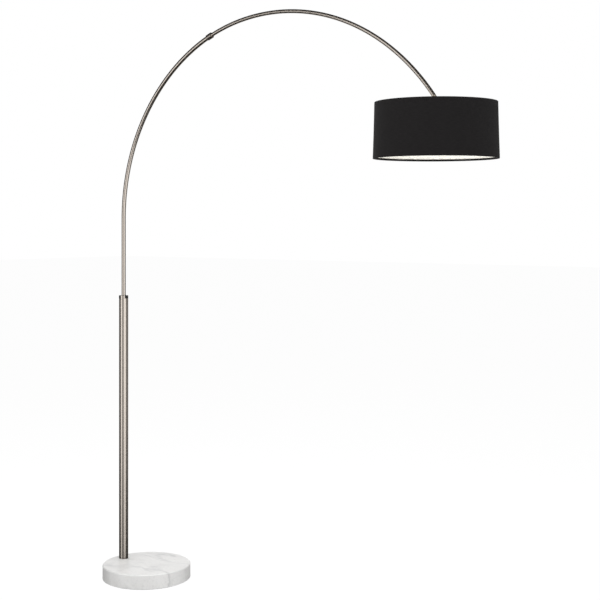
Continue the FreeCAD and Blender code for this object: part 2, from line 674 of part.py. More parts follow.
def switch_knob():
    near = HOLDER_RADIUS + SWITCH_KNOB_STANDOFF
    far = near + SWITCH_KNOB_LENGTH
    knob = rod(SWITCH_KNOB_RADIUS, V(SHADE_X, -near, SWITCH_Z), V(SHADE_X, -far, SWITCH_Z))
    blind_end = near + SWITCH_KNOB_LENGTH / 2 + FIXED_GAP
    hole = rod(
        SWITCH_SHAFT_RADIUS + FIXED_GAP, V(SHADE_X, 0, SWITCH_Z), V(SHADE_X, -blind_end, SWITCH_Z)
    )
    cuts = [hole]
    for i in range(SWITCH_KNOB_FLUTES):
        turn = math.radians(360 / SWITCH_KNOB_FLUTES * i)
        x = SHADE_X + SWITCH_KNOB_RADIUS * math.cos(turn)
        z = SWITCH_Z + SWITCH_KNOB_RADIUS * math.sin(turn)
        cuts.append(rod(SWITCH_FLUTE_RADIUS, V(x, -near + 1, z), V(x, -far - 1, z)))
    return knob.cut(cuts[0].fuse(cuts[1:]))


# ---- shade ----
def shade_radius(z):
    """The outside radius of the shade at a height."""
    share = (z - SHADE_FOOT) / SHADE_HEIGHT
    return (SHADE_BOTTOM_DIAMETER + (SHADE_TOP_DIAMETER - SHADE_BOTTOM_DIAMETER) * share) / 2


SHADE_LEAN = math.atan((SHADE_BOTTOM_DIAMETER - SHADE_TOP_DIAMETER) / 2 / SHADE_HEIGHT)
WIRE_SPACE = FIXED_GAP + RIM_WIRE_RADIUS
WIRE_INSET = FABRIC_THICKNESS + WIRE_SPACE / math.cos(SHADE_LEAN)
WIRE_DEPTH = FABRIC_THICKNESS + WIRE_SPACE
HEM_INNER = 2 * WIRE_INSET
TOP_WIRE_Z = SHADE_TOP - WIRE_DEPTH
BOTTOM_WIRE_Z = SHADE_FOOT + WIRE_DEPTH


def rim_wire(z):
    """One round wire hoop, tucked inside a hem."""
    hoop = shade_radius(z) - WIRE_INSET
    return Part.makeTorus(hoop, RIM_WIRE_RADIUS, V(SHADE_X, 0, z), UP)


def spider_arm(index, radius):
    """A straight wire from the hub's rim up to the top hoop."""
    turn = math.radians(180 + 360 / SPIDER_ARMS * index)
    outward = V(math.cos(turn), math.sin(turn), 0)
    weld = V(SHADE_X, 0, SPIDER_HUB_FOOT + RIM_WIRE_RADIUS)
    start = weld + outward * (SPIDER_HUB_RADIUS - SPIDER_WELD_DEPTH)
    end = V(SHADE_X, 0, TOP_WIRE_Z) + outward * (shade_radius(TOP_WIRE_Z) - WIRE_INSET)
    return rod(radius, start, end)


def shade_spider():
    """The hub, its wire arms and the top hoop, welded into one piece."""
    hub = ring(SPIDER_HUB_RADIUS, SPIDER_HUB_BORE, SPIDER_HUB_FOOT, HOLDER_SHOULDER_Z, SHADE_X)
    arms = [spider_arm(i, RIM_WIRE_RADIUS) for i in range(SPIDER_ARMS)]
    return rim_wire(TOP_WIRE_Z).fuse([hub] + arms)


def bottom_rim_wire():
    return rim_wire(BOTTOM_WIRE_Z)


def inset(z, depth):
    """An outline point at a depth inside the shade's outside."""
    return (shade_radius(z) - depth, z)


def shade_fabric():
    """The outer drum, with a hem turned in round the hoop at both rims."""
    cloth = FABRIC_THICKNESS
    outline = [
        inset(SHADE_FOOT, 0),
        inset(SHADE_TOP, 0),
        inset(SHADE_TOP, HEM_INNER),
        inset(SHADE_TOP - HEM_HEIGHT, HEM_INNER),
        inset(SHADE_TOP - HEM_HEIGHT, HEM_INNER - cloth),
        inset(SHADE_TOP - cloth, HEM_INNER - cloth),
        inset(SHADE_TOP - cloth, cloth),
        inset(SHADE_FOOT + cloth, cloth),
        inset(SHADE_FOOT + cloth, HEM_INNER - cloth),
        inset(SHADE_FOOT + HEM_HEIGHT, HEM_INNER - cloth),
        inset(SHADE_FOOT + HEM_HEIGHT, HEM_INNER),
        inset(SHADE_FOOT, HEM_INNER),
    ]
    drum = turned(outline, SHADE_X)
    notches = [spider_arm(i, RIM_WIRE_RADIUS + RUNNING_GAP) for i in range(SPIDER_ARMS)]
    return drum.cut(notches[0].fuse(notches[1:]))


def shade_liner():
    """The thin inner drum, between the two hoops."""
    foot = SHADE_FOOT + 2 * WIRE_DEPTH
    top = SHADE_TOP - 2 * WIRE_DEPTH
    outer = FABRIC_THICKNESS + FIXED_GAP
    inner = outer + LINER_THICKNESS
    return turned([inset(foot, outer), inset(top, outer), inset(top, inner), inset(foot, inner)], SHADE_X)


PARTS = [
    marble_base,
    base_pad,
    cable_grommet,
    base_washer,
    base_nut,
    base_stud,
    post_foot_plug,
    post_tube,
    post_top_bush,
    stem_seat_bush,
    lower_arm_tube,
    swivel_stop_pin,
    joint_collar,
    collar_bush,
    collar_grub_screw,
    upper_arm_tube,
    slide_guide_plug,
    arm_end_tongue,
    tilt_fork,
    tilt_screw,
    tilt_nut,
    holder_nipple,
    nipple_nuts,
    holder_cap,
    holder_shell,
    holder_insulator,
    holder_screw_shell,
    centre_contact,
    bulb_contact,
    bulb_cap,
    bulb_glass,
    shade_ring,
    switch_shaft,
    switch_knob,
    shade_spider,
    bottom_rim_wire,
    shade_fabric,
    shade_liner,
]

os.makedirs("parts", exist_ok=True)
for make in PARTS:
    shape = make()
    shape.exportStep(os.path.join("parts", make.__name__ + ".step"))
    print(make.__name__, shape.isValid(), len(shape.Solids), round(shape.Volume / 1000, 2), "cm3")
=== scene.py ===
import json
import math

import bmesh
import bpy
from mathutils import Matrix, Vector


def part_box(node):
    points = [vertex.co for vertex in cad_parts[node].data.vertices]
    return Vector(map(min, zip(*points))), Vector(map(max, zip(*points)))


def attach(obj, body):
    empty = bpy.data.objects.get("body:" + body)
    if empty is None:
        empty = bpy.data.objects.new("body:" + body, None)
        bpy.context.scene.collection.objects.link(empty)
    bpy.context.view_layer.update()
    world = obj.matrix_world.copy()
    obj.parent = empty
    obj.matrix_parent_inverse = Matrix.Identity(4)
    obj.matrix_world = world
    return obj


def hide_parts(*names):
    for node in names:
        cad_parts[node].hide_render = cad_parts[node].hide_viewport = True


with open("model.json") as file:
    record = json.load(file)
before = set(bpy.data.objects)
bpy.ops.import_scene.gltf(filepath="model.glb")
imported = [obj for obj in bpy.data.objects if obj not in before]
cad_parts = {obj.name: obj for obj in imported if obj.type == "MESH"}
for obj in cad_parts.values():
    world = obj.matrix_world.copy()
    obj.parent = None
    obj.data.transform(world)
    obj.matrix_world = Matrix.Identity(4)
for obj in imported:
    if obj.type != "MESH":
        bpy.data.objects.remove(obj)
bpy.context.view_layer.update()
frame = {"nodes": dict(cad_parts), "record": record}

# Lengths are in metres in this file, and angles in degrees where a name ends in DEG.
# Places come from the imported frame, and the shapes repeat the CAD's own sizes.

# ---- sizes that the frame doesn't state ----
MM = 0.001
ARM_RADIUS = 8.0 * MM
ARM_WALL = 0.8 * MM
UPPER_RADIUS = 6.9 * MM
OUTER_ARC_RADIUS = 0.793
ARC_CHANGE_DEG = 80.0
COLLAR_DEG = 67.0
OVERLAP_DEG = 22.0
COLLAR_LENGTH = 22.0 * MM
COLLAR_WALL = 2.5 * MM
TUBE_END_TO_PIVOT = 13.0 * MM
POST_RADIUS = 17.5 * MM
POST_WALL = 1.5 * MM
LUGS = 3
LUG_DEG = 62.0
LUG_HEIGHT = 11.0 * MM
CLOTH = 0.8 * MM
LINING_FILM = 0.5 * MM
WIRE = 1.5 * MM
HEM = 6.5 * MM
HUB_WIDTH = 3.5 * MM
HUB_THICKNESS = 2.4 * MM
SHADE_RING_WIDTH = 5.5 * MM
STUD_RADIUS = 10.0 * MM
RECESS_RADIUS = 26.0 * MM
NIPPLE_RADIUS = 5.0 * MM
FIXED_GAP = 0.05 * MM
LOOSE_GAP = 0.3 * MM

# ---- places from the frame ----
JOINTS = {j["name"]: j for j in frame["record"]["behaviour"]["joints"]}
POST_X, _, STEM_BOTTOM = JOINTS["arm_swivel"]["pos_m"]
ARC_X, _, ARC_Z = JOINTS["arm_extension"]["pos_m"]
PIVOT = Vector(JOINTS["shade_tilt"]["pos_m"])
SHADE_X = PIVOT.x
LOWER_ARC_RADIUS = ARC_X - POST_X
ARC_CHANGE = math.radians(ARC_CHANGE_DEG)
ARC_STEP = OUTER_ARC_RADIUS - LOWER_ARC_RADIUS
OUTER_X = ARC_X + ARC_STEP * math.cos(ARC_CHANGE)
OUTER_Z = ARC_Z - ARC_STEP * math.sin(ARC_CHANGE)
STEM_LENGTH = ARC_Z - STEM_BOTTOM
LOWER_ARC_LENGTH = LOWER_ARC_RADIUS * ARC_CHANGE
ARC_END = math.pi - math.asin((PIVOT.z - OUTER_Z) / OUTER_ARC_RADIUS)
ARM_LENGTH = STEM_LENGTH + LOWER_ARC_LENGTH + OUTER_ARC_RADIUS * (ARC_END - ARC_CHANGE)


def low(node):
    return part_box(node)[0]


def high(node):
    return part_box(node)[1]


# ---- mesh building ----
def rounded(corners, steps=4):
    """A closed outline from (r, s, radius) corners, with each corner turned into a small curve."""
    points = []
    count = len(corners)
    for i, (r, s, radius) in enumerate(corners):
        here = Vector((r, s))
        if radius <= 0:
            points.append((r, s))
            continue
        before = Vector(corners[i - 1][:2]) - here
        after = Vector(corners[(i + 1) % count][:2]) - here
        half = before.angle(after) / 2
        cut = min(radius / math.tan(half), before.length * 0.49, after.length * 0.49)
        start = here + before.normalized() * cut
        end = here + after.normalized() * cut
        for k in range(steps + 1):
            t = k / steps
            p = start * (1 - t) ** 2 + here * (2 * t * (1 - t)) + end * t * t
            points.append((p.x, p.y))
    return points


def divided(outline, step):
    """The outline again, with no run along s longer than step."""
    points = []
    for i, (r, s) in enumerate(outline):
        r2, s2 = outline[(i + 1) % len(outline)]
        parts = max(1, math.ceil(abs(s2 - s) / step))
        for k in range(parts):
            t = k / parts
            points.append((r + (r2 - r) * t, s + (s2 - s) * t))
    return points


def carried(mesh, outline, place, around):
    """Adds a closed outline of (r, s) points to a bmesh, carried round by place(r, s, turn).

    Its UV map "brush" runs along the outline first and round the piece second.
    """
    brush = mesh.loops.layers.uv.get("brush") or mesh.loops.layers.uv.new("brush")
    widest = max(r for r, s in outline)
    rings = []
    lengths = [0.0]
    for i, (r, s) in enumerate(outline):
        rings.append([mesh.verts.new(place(r, s, 2 * math.pi * k / around)) for k in range(around)])
        r2, s2 = outline[(i + 1) % len(outline)]
        lengths.append(lengths[-1] + math.hypot(r2 - r, s2 - s))
    for i in range(len(outline)):
        ring, other = rings[i], rings[(i + 1) % len(outline)]
        for k in range(around):
            following = (k + 1) % around
            face = mesh.faces.new((ring[k], other[k], other[following], ring[following]))
            face.smooth = True
            corners = ((i, k), (i + 1, k), (i + 1, k + 1), (i, k + 1))
            for loop, (step, turn) in zip(face.loops, corners):
                loop[brush].uv = (lengths[step], 2 * math.pi * widest * turn / around)


def finished(name, mesh, material, body, replaces=()):
    """Turns a bmesh into a piece of the lamp that rides on a body."""
    bmesh.ops.remove_doubles(mesh, verts=mesh.verts, dist=1e-7)
    bmesh.ops.dissolve_degenerate(mesh, edges=mesh.edges, dist=1e-8)
    bmesh.ops.recalc_face_normals(mesh, faces=mesh.faces)
    data = bpy.data.meshes.new(name)
    mesh.to_mesh(data)
    mesh.free()
    piece = bpy.data.objects.new(name, data)
    bpy.context.scene.collection.objects.link(piece)
    data.materials.append(material)
    normals = piece.modifiers.new("normals", "WEIGHTED_NORMAL")
    normals.keep_sharp = True
    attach(piece, body)
    if replaces:
        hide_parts(*replaces)
    return piece


def upright(x, y=0.0):
    """A place function for something turned about an upright axis."""
    return lambda r, s, turn: (x + r * math.cos(turn), y + r * math.sin(turn), s)


def along(start, direction):
    """A place function for something turned about any axis; s counts from start."""
    axis = Vector(direction).normalized()
    side = axis.orthogonal().normalized()
    other = axis.cross(side)
    origin = Vector(start)
    return lambda r, s, turn: origin + axis * s + (side * math.cos(turn) + other * math.sin(turn)) * r


def arm_frame(s):
    """The arm's centreline point and its outward direction, s metres from the stem's foot."""
    if s <= STEM_LENGTH:
        return Vector((POST_X, 0, STEM_BOTTOM + s)), Vector((-1, 0, 0))
    bend = (s - STEM_LENGTH) / LOWER_ARC_RADIUS
    centre, radius = Vector((ARC_X, 0, ARC_Z)), LOWER_ARC_RADIUS
    if bend > ARC_CHANGE:
        bend = ARC_CHANGE + (s - STEM_LENGTH - LOWER_ARC_LENGTH) / OUTER_ARC_RADIUS
        centre, radius = Vector((OUTER_X, 0, OUTER_Z)), OUTER_ARC_RADIUS
    outward = Vector((-math.cos(bend), 0, math.sin(bend)))
    return centre + outward * radius, outward


def arm_place(r, s, turn):
    """A place function for something that follows the arm."""
    middle, outward = arm_frame(s)
    return middle + outward * (r * math.cos(turn)) + Vector((0, r * math.sin(turn), 0))


def arm_length_at(deg):
    """How far along the arm an angle of the lower arc is."""
    return STEM_LENGTH + LOWER_ARC_RADIUS * math.radians(deg)


# ---- materials ----
# The sockets of a colour Mix node, which share their names with its other kinds.
MIX_FACTOR = 0
MIX_A = 6
MIX_B = 7
MIX_RESULT = 2


def principled(name, colour, **values):
    """A new material with values set on its shader; an underscore stands for a space."""
    material = bpy.data.materials.new(name)
    material.use_nodes = True
    shader = material.node_tree.nodes["Principled BSDF"]
    shader.inputs["Base Color"].default_value = (*colour, 1)
    for socket, value in values.items():
        shader.inputs[socket.replace("_", " ")].default_value = value
    return material


def node(material, kind, **values):
    """A new node, with its settings and its inputs set by name; an underscore stands for a space."""
    made = material.node_tree.nodes.new(kind)
    for key, value in values.items():
        if hasattr(made, key):
            setattr(made, key, value)
        else:
            made.inputs[key.replace("_", " ")].default_value = value
    return made


def link(material, source, output, target, socket):
    material.node_tree.links.new(source.outputs[output], target.inputs[socket])


def coordinates(material, kind, scale):
    """Object or UV coordinates, stretched by a scale per axis."""
    if kind == "UV":
        source = node(material, "ShaderNodeUVMap", uv_map="brush")
    else:
        source = node(material, "ShaderNodeTexCoord")
    mapping = node(material, "ShaderNodeMapping", Scale=scale)
    link(material, source, kind, mapping, "Vector")
    return mapping


def noise(material, kind, scale, size, detail=4.0, roughness=0.55):
    mapping = coordinates(material, kind, scale)
    texture = node(material, "ShaderNodeTexNoise", Scale=size, Detail=detail, Roughness=roughness)
    link(material, mapping, "Vector", texture, "Vector")
    return texture


def spread(material, texture, output, low_value, high_value, start=0.3, end=0.7):
    """Maps a texture's value from start to end onto a range of numbers."""
    ends = {"From_Min": start, "From_Max": end, "To_Min": low_value, "To_Max": high_value}
    ranged = node(material, "ShaderNodeMapRange", **ends)
    link(material, texture, output, ranged, "Value")
    return ranged


def tinted(material, texture, output, stops):
    """Colours a texture's value through a ramp of (place, colour) stops into the base colour."""
    ramp = node(material, "ShaderNodeValToRGB")
    elements = ramp.color_ramp.elements
    while len(elements) < len(stops):
        elements.new(0.5)
    for element, (place, colour) in zip(elements, stops):
        element.position = place
        element.color = (*colour, 1)
    link(material, texture, output, ramp, "Fac")
    shader = material.node_tree.nodes["Principled BSDF"]
    link(material, ramp, "Color", shader, "Base Color")
    return ramp


def rough(material, ranged):
    shader = material.node_tree.nodes["Principled BSDF"]
    link(material, ranged, "Result", shader, "Roughness")


def bumped(material, texture, output, strength, distance, under=None):
    """Adds a bump, on top of another bump where one is given."""
    bump = node(material, "ShaderNodeBump", Strength=strength, Distance=distance)
    link(material, texture, output, bump, "Height")
    if under is not None:
        link(material, under, "Normal", bump, "Normal")
    shader = material.node_tree.nodes["Principled BSDF"]
    link(material, bump, "Normal", shader, "Normal")
    return bump


def brushed_metal(name, dark, light, roughness):
    """Metal brushed round a tube: fine rings, with the highlight drawn out along the tube."""
    metal = principled(name, light, Metallic=1.0, Anisotropic=0.85, Roughness=roughness)
    shader = metal.node_tree.nodes["Principled BSDF"]
    tangent = node(metal, "ShaderNodeTangent", direction_type="UV_MAP", uv_map="brush")
    link(metal, tangent, "Tangent", shader, "Tangent")
    rings = noise(metal, "UV", (1.0, 0.02, 1.0), 5200.0, detail=3.0)
    tinted(metal, rings, "Fac", ((0.3, dark), (0.7, light)))
    rough(metal, spread(metal, rings, "Fac", roughness - 0.03, roughness + 0.05))
    bumped(metal, rings, "Fac", 0.045, 0.00004)
    return metal


def moulded(name, dark, light, roughness, grain=900.0):
    """Satin moulded plastic or rubber with a fine grain."""
    plastic = principled(name, light, Roughness=roughness)
    fine = noise(plastic, "Object", (1, 1, 1), grain, detail=2.0)
    wide = noise(plastic, "Object", (1, 1, 1), 60.0, detail=3.0)
    tinted(plastic, wide, "Fac", ((0.3, dark), (0.7, light)))
    rough(plastic, spread(plastic, wide, "Fac", roughness - 0.06, roughness + 0.08))
    bumped(plastic, fine, "Fac", 0.15, 0.0001)
    return plastic


def plain_metal(name, dark, light, roughness):
    """Turned or plated metal for fasteners, with faint handling marks."""
    metal = principled(name, light, Metallic=1.0)
    marks = noise(metal, "Object", (1, 1, 1), 220.0, detail=5.0)
    tinted(metal, marks, "Fac", ((0.3, dark), (0.7, light)))
    rough(metal, spread(metal, marks, "Fac", roughness - 0.08, roughness + 0.1))
    bumped(metal, marks, "Fac", 0.1, 0.00005)
    return metal


def make_marble():
    """Polished white marble: soft clouds, fine mottling, and grey veins that wander and fade."""
    stone = principled("marble", (0.75, 0.745, 0.735), Roughness=0.2)
    shader = stone.node_tree.nodes["Principled BSDF"]
    clouds = noise(stone, "Object", (1.0, 1.7, 1.0), 9.0, detail=9.0, roughness=0.66)
    stops = ((0.28, (0.66, 0.655, 0.645)), (0.48, (0.745, 0.74, 0.73)), (0.72, (0.79, 0.785, 0.775)))
    ground = tinted(stone, clouds, "Fac", stops)
    mottle = noise(stone, "Object", (1, 1, 1), 95.0, detail=6.0, roughness=0.7)
    marks = spread(stone, mottle, "Fac", 0.0, 0.34, 0.50, 0.76)
    course = noise(stone, "Object", (1.0, 2.1, 1.3), 3.3, detail=6.0, roughness=0.52)
    course.inputs["Distortion"].default_value = 0.35
    middle = node(stone, "ShaderNodeMath", operation="SUBTRACT")
    middle.inputs[1].default_value = 0.5
    link(stone, course, "Fac", middle, 0)
    away = node(stone, "ShaderNodeMath", operation="ABSOLUTE")
    link(stone, middle, "Value", away, 0)
    thin = spread(stone, away, "Value", 1.0, 0.0, 0.0, 0.042)
    fade = noise(stone, "Object", (1, 1, 1), 8.0, detail=4.0)
    strength = spread(stone, fade, "Fac", 0.08, 0.6, 0.42, 0.62)
    vein = node(stone, "ShaderNodeMath", operation="MULTIPLY")
    link(stone, thin, "Result", vein, 0)
    link(stone, strength, "Result", vein, 1)
    both = node(stone, "ShaderNodeMath", operation="MAXIMUM")
    link(stone, vein, "Value", both, 0)
    link(stone, marks, "Result", both, 1)
    mix = node(stone, "ShaderNodeMix", data_type="RGBA")
    mix.inputs[MIX_B].default_value = (0.45, 0.45, 0.455, 1)
    link(stone, both, "Value", mix, MIX_FACTOR)
    link(stone, ground, "Color", mix, MIX_A)
    link(stone, mix, MIX_RESULT, shader, "Base Color")
    rough(stone, spread(stone, clouds, "Fac", 0.30, 0.40))
    bumped(stone, mottle, "Fac", 0.05, 0.0002)
    return stone


def make_fabric():
    """Matte black plain weave: threads 0.6 mm apart both ways, with slubs along the weft."""
    cloth = principled("black_fabric", (0.011, 0.0105, 0.0105), Roughness=0.9)
    shader = cloth.node_tree.nodes["Principled BSDF"]
    shader.inputs["Sheen Weight"].default_value = 0.02
    shader.inputs["Sheen Roughness"].default_value = 0.5
    shader.inputs["Specular IOR Level"].default_value = 0.12
    threads = []
    for direction in ("X", "Y"):
        mapping = coordinates(cloth, "UV", (1, 1, 1))
        wave = node(cloth, "ShaderNodeTexWave", bands_direction=direction, Scale=520.0)
        for socket, value in (("Distortion", 1.2), ("Detail", 2.0), ("Detail Scale", 1.5)):
            wave.inputs[socket].default_value = value
        link(cloth, mapping, "Vector", wave, "Vector")
        threads.append(wave)
    weave = node(cloth, "ShaderNodeMath", operation="MAXIMUM")
    link(cloth, threads[0], "Fac", weave, 0)
    link(cloth, threads[1], "Fac", weave, 1)
    slubs = noise(cloth, "UV", (9.0, 1.0, 1.0), 60.0, detail=5.0)
    tinted(cloth, slubs, "Fac", ((0.3, (0.0085, 0.0078, 0.008)), (0.7, (0.0135, 0.0123, 0.0127))))
    first = bumped(cloth, weave, "Value", 0.35, 0.00025)
    bumped(cloth, slubs, "Fac", 0.2, 0.0004, under=first)
    return cloth


def make_liner():
    """Ivory styrene film laminated inside the cloth, with a faint fibre pattern."""
    film = principled("ivory_liner", (0.90, 0.88, 0.82), Roughness=0.55)
    fibres = noise(film, "UV", (14.0, 1.0, 1.0), 40.0, detail=6.0)
    tinted(film, fibres, "Fac", ((0.3, (0.86, 0.84, 0.78)), (0.7, (0.93, 0.915, 0.865))))
    rough(film, spread(film, fibres, "Fac", 0.45, 0.62))
    bumped(film, fibres, "Fac", 0.08, 0.0002)
    return film


def make_frosted_glass():
    """The lit bulb's white frosted globe."""
    glass = principled("frosted_glass", (0.95, 0.94, 0.90), Roughness=0.35)
    shader = glass.node_tree.nodes["Principled BSDF"]
    shader.inputs["Emission Color"].default_value = (1.0, 0.93, 0.82, 1)
    shader.inputs["Emission Strength"].default_value = 1.9
    mist = noise(glass, "Object", (1, 1, 1), 90.0, detail=3.0)
    tinted(glass, mist, "Fac", ((0.3, (0.93, 0.92, 0.88)), (0.7, (0.96, 0.955, 0.93))))
    bumped(glass, mist, "Fac", 0.05, 0.0001)
    return glass


def make_felt():
    """Dense grey felt with a fine tangle of fibres."""
    felt = principled("felt", (0.05, 0.05, 0.053), Roughness=0.95)
    shader = felt.node_tree.nodes["Principled BSDF"]
    shader.inputs["Sheen Weight"].default_value = 0.3
    fibres = noise(felt, "Object", (1, 1, 1), 1500.0, detail=6.0, roughness=0.7)
    tinted(felt, fibres, "Fac", ((0.3, (0.03, 0.03, 0.032)), (0.7, (0.075, 0.075, 0.08))))
    bumped(felt, fibres, "Fac", 0.5, 0.0006)
    return felt


NICKEL = brushed_metal("brushed_nickel", (0.56, 0.50, 0.445), (0.67, 0.61, 0.55), 0.2)
DARK_NICKEL = brushed_metal("dark_nickel", (0.36, 0.32, 0.285), (0.43, 0.385, 0.345), 0.22)
ZINC = plain_metal("zinc_steel", (0.50, 0.50, 0.48), (0.62, 0.62, 0.61), 0.34)
BRASS = plain_metal("brass", (0.62, 0.44, 0.19), (0.76, 0.57, 0.28), 0.28)
ALUMINIUM = plain_metal("bulb_aluminium", (0.66, 0.66, 0.65), (0.78, 0.78, 0.77), 0.26)
BLACK_WIRE = moulded("black_wire", (0.012, 0.012, 0.012), (0.022, 0.022, 0.022), 0.42)
NYLON = moulded("black_nylon", (0.006, 0.006, 0.006), (0.012, 0.011, 0.011), 0.38)
PHENOLIC = moulded("black_phenolic", (0.013, 0.013, 0.013), (0.022, 0.022, 0.021), 0.35)
RUBBER = moulded("black_rubber", (0.014, 0.014, 0.014), (0.022, 0.022, 0.022), 0.62)
MARBLE = make_marble()
FABRIC = make_fabric()
LINER = make_liner()
FROSTED = make_frosted_glass()
FELT = make_felt()
MATERIALS = {
    "brushed_nickel": NICKEL,
    "dark_nickel": DARK_NICKEL,
    "zinc_steel": ZINC,
    "brass": BRASS,
    "bulb_aluminium": ALUMINIUM,
    "black_wire": BLACK_WIRE,
    "black_nylon": NYLON,
    "black_phenolic": PHENOLIC,
    "black_rubber": RUBBER,
    "marble": MARBLE,
    "black_fabric": FABRIC,
    "ivory_liner": LINER,
    "frosted_glass": FROSTED,
    "felt": FELT,
}
# A brushed finish follows a piece's own map of brush marks, which a plain CAD node doesn't have.
CAD_NICKEL = plain_metal("cast_nickel", (0.50, 0.45, 0.39), (0.60, 0.54, 0.475), 0.36)


def repaint_cad():
    """Gives every CAD node the material of its slot; the built pieces then replace some of them."""
    for part in frame["record"]["subparts"]:
        material = MATERIALS[part["material_slot"]]
        if part["material_slot"] in ("brushed_nickel", "dark_nickel"):
            material = CAD_NICKEL
        for slot in frame["nodes"][part["node"]].material_slots:
            slot.material = material


# ---- base ----
def column(radius, foot, top):
    """The outline of a solid column."""
    return [(0, foot), (radius, foot), (radius, top), (0, top)]


def marble_slab():
    """A disc with a soft bevel, cut from below by the nut's recess and the lead's channel."""
    lowest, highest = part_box("marble_base")
    radius = (highest.x - lowest.x) / 2
    foot, top = lowest.z, highest.z
    bevel = 3.0 * MM
    foot_bevel = 1.5 * MM
    soft = 1.2 * MM
    corners = [
        (0, foot, 0),
        (radius - foot_bevel, foot, 0.5 * MM),
        (radius, foot + foot_bevel, 0.5 * MM),
        (radius, top - bevel, soft),
        (radius - bevel, top, soft),
        (0, top, 0),
    ]
    slab = bmesh.new()
    carried(slab, rounded(corners, 5), upright(0), 256)
    disc = finished("marble_slab", slab, MARBLE, "base", ["marble_base"])
    past = 10.0 * MM
    recess_top = high("base_washer").z
    cutter = bmesh.new()
    carried(cutter, column(RECESS_RADIUS, -past, recess_top), upright(POST_X), 96)
    stud_hole = column(STUD_RADIUS + LOOSE_GAP, recess_top - 1.0 * MM, top + past)
    carried(cutter, stud_hole, upright(POST_X), 64)
    width = (high("cable_grommet").y - low("cable_grommet").y) + 2 * FIXED_GAP
    channel_top = foot + width
    channel = bmesh.ops.create_cube(cutter, size=1.0)
    middle = Vector(((POST_X - radius - 2 * past) / 2, 0, (channel_top - past) / 2))
    size = Vector((POST_X + radius + 2 * past, width, channel_top + past))
    bmesh.ops.scale(cutter, vec=size, verts=channel["verts"])
    bmesh.ops.translate(cutter, vec=middle, verts=channel["verts"])
    cut_from(disc, cutter)
    disc.visible_glossy = False
    return disc


def cut_from(piece, cutter):
    """Cuts a bmesh out of a piece for good."""
    bmesh.ops.remove_doubles(cutter, verts=cutter.verts, dist=1e-7)
    bmesh.ops.recalc_face_normals(cutter, faces=cutter.faces)
    data = bpy.data.meshes.new("cutter")
    cutter.to_mesh(data)
    cutter.free()
    tool = bpy.data.objects.new("cutter", data)
    bpy.context.scene.collection.objects.link(tool)
    boolean = piece.modifiers.new("cut", "BOOLEAN")
    boolean.object = tool
    boolean.solver = "EXACT"
    boolean.use_self = True
    normals = piece.modifiers["normals"]
    normals.show_viewport = False
    result = bpy.data.meshes.new_from_object(piece.evaluated_get(bpy.context.evaluated_depsgraph_get()))
    piece.modifiers.remove(boolean)
    piece.data = result
    normals.show_viewport = True
    bpy.data.objects.remove(tool)


# ---- post ----
def lug_turns(half_gap):
    """The angles round the post, with steps that end exactly at the sides of the lugs."""
    turns = []
    lug_steps, tongue_steps = 20, 19
    for i in range(LUGS):
        middle = 2 * math.pi / LUGS * i
        half = math.radians(LUG_DEG) / 2 + half_gap
        tongue = 2 * math.pi / LUGS - 2 * half
        for k in range(lug_steps):
            turns.append((middle - half + 2 * half * k / lug_steps, True))
        for k in range(tongue_steps):
            turns.append((middle + half + tongue * k / tongue_steps, False))
    return turns


def shell_wall(mesh, turns, heights, outer, inner, filled):
    """A wall of cells (turn, height) between two radii, with faces wherever a cell meets an empty one."""
    brush = mesh.loops.layers.uv.get("brush") or mesh.loops.layers.uv.new("brush")
    count = len(turns)
    radii = (outer, inner)
    verts = {}

    def vertex(i, j, radius):
        key = (i % count, j, radius)
        if key not in verts:
            turn = turns[i % count][0]
            verts[key] = mesh.verts.new(
                (POST_X + radius * math.cos(turn), radius * math.sin(turn), heights[j])
            )
        return verts[key]

    def face(corners, smooth):
        made = mesh.faces.new([vertex(*c) for c in corners])
        made.smooth = smooth
        for loop, (i, j, radius) in zip(made.loops, corners):
            loop[brush].uv = (heights[j], outer * 2 * math.pi * i / count)

    def is_filled(i, j):
        return 0 <= j < len(heights) - 1 and filled(turns[i % count][1], j)

    for i in range(count):
        for j in range(len(heights) - 1):
            if not is_filled(i, j):
                continue
            for radius in radii:
                face([(i, j, radius), (i + 1, j, radius), (i + 1, j + 1, radius), (i, j + 1, radius)], True)
            for level, z in ((j - 1, j), (j + 1, j + 1)):
                if not is_filled(i, level):
                    face([(i, z, outer), (i + 1, z, outer), (i + 1, z, inner), (i, z, inner)], False)
            for beside, side in ((i - 1, i), (i + 1, i + 1)):
                if not is_filled(beside, j):
                    corners = [(side, j, outer), (side, j + 1, outer), (side, j + 1, inner), (side, j, inner)]
                    face(corners, False)


def edge_bevel(piece, width):
    """Rounds a piece's sharp edges a little."""
    bevel = piece.modifiers.new("bevel", "BEVEL")
    bevel.width = width
    bevel.segments = 2
    bevel.limit_method = "ANGLE"
    bevel.angle_limit = math.radians(40)
    piece.modifiers.move(len(piece.modifiers) - 1, 0)


def post():
    """The upright tube, with a slot at its top for each lug of the bush."""
    foot, top = low("post_tube").z, high("post_tube").z
    slot_foot = top - LUG_HEIGHT
    between = [foot + (slot_foot - foot) * k / 6 for k in range(1, 6)]
    heights = [foot, foot + 2.0 * MM, *between, slot_foot, top]
    slotted = len(heights) - 2
    mesh = bmesh.new()
    turns = lug_turns(FIXED_GAP / POST_RADIUS)
    bore = POST_RADIUS - POST_WALL
    shell_wall(mesh, turns, heights, POST_RADIUS, bore, lambda lug, j: j < slotted or not lug)
    tube = finished("post", mesh, NICKEL, "base", ["post_tube"])
    edge_bevel(tube, 0.25 * MM)
    return tube


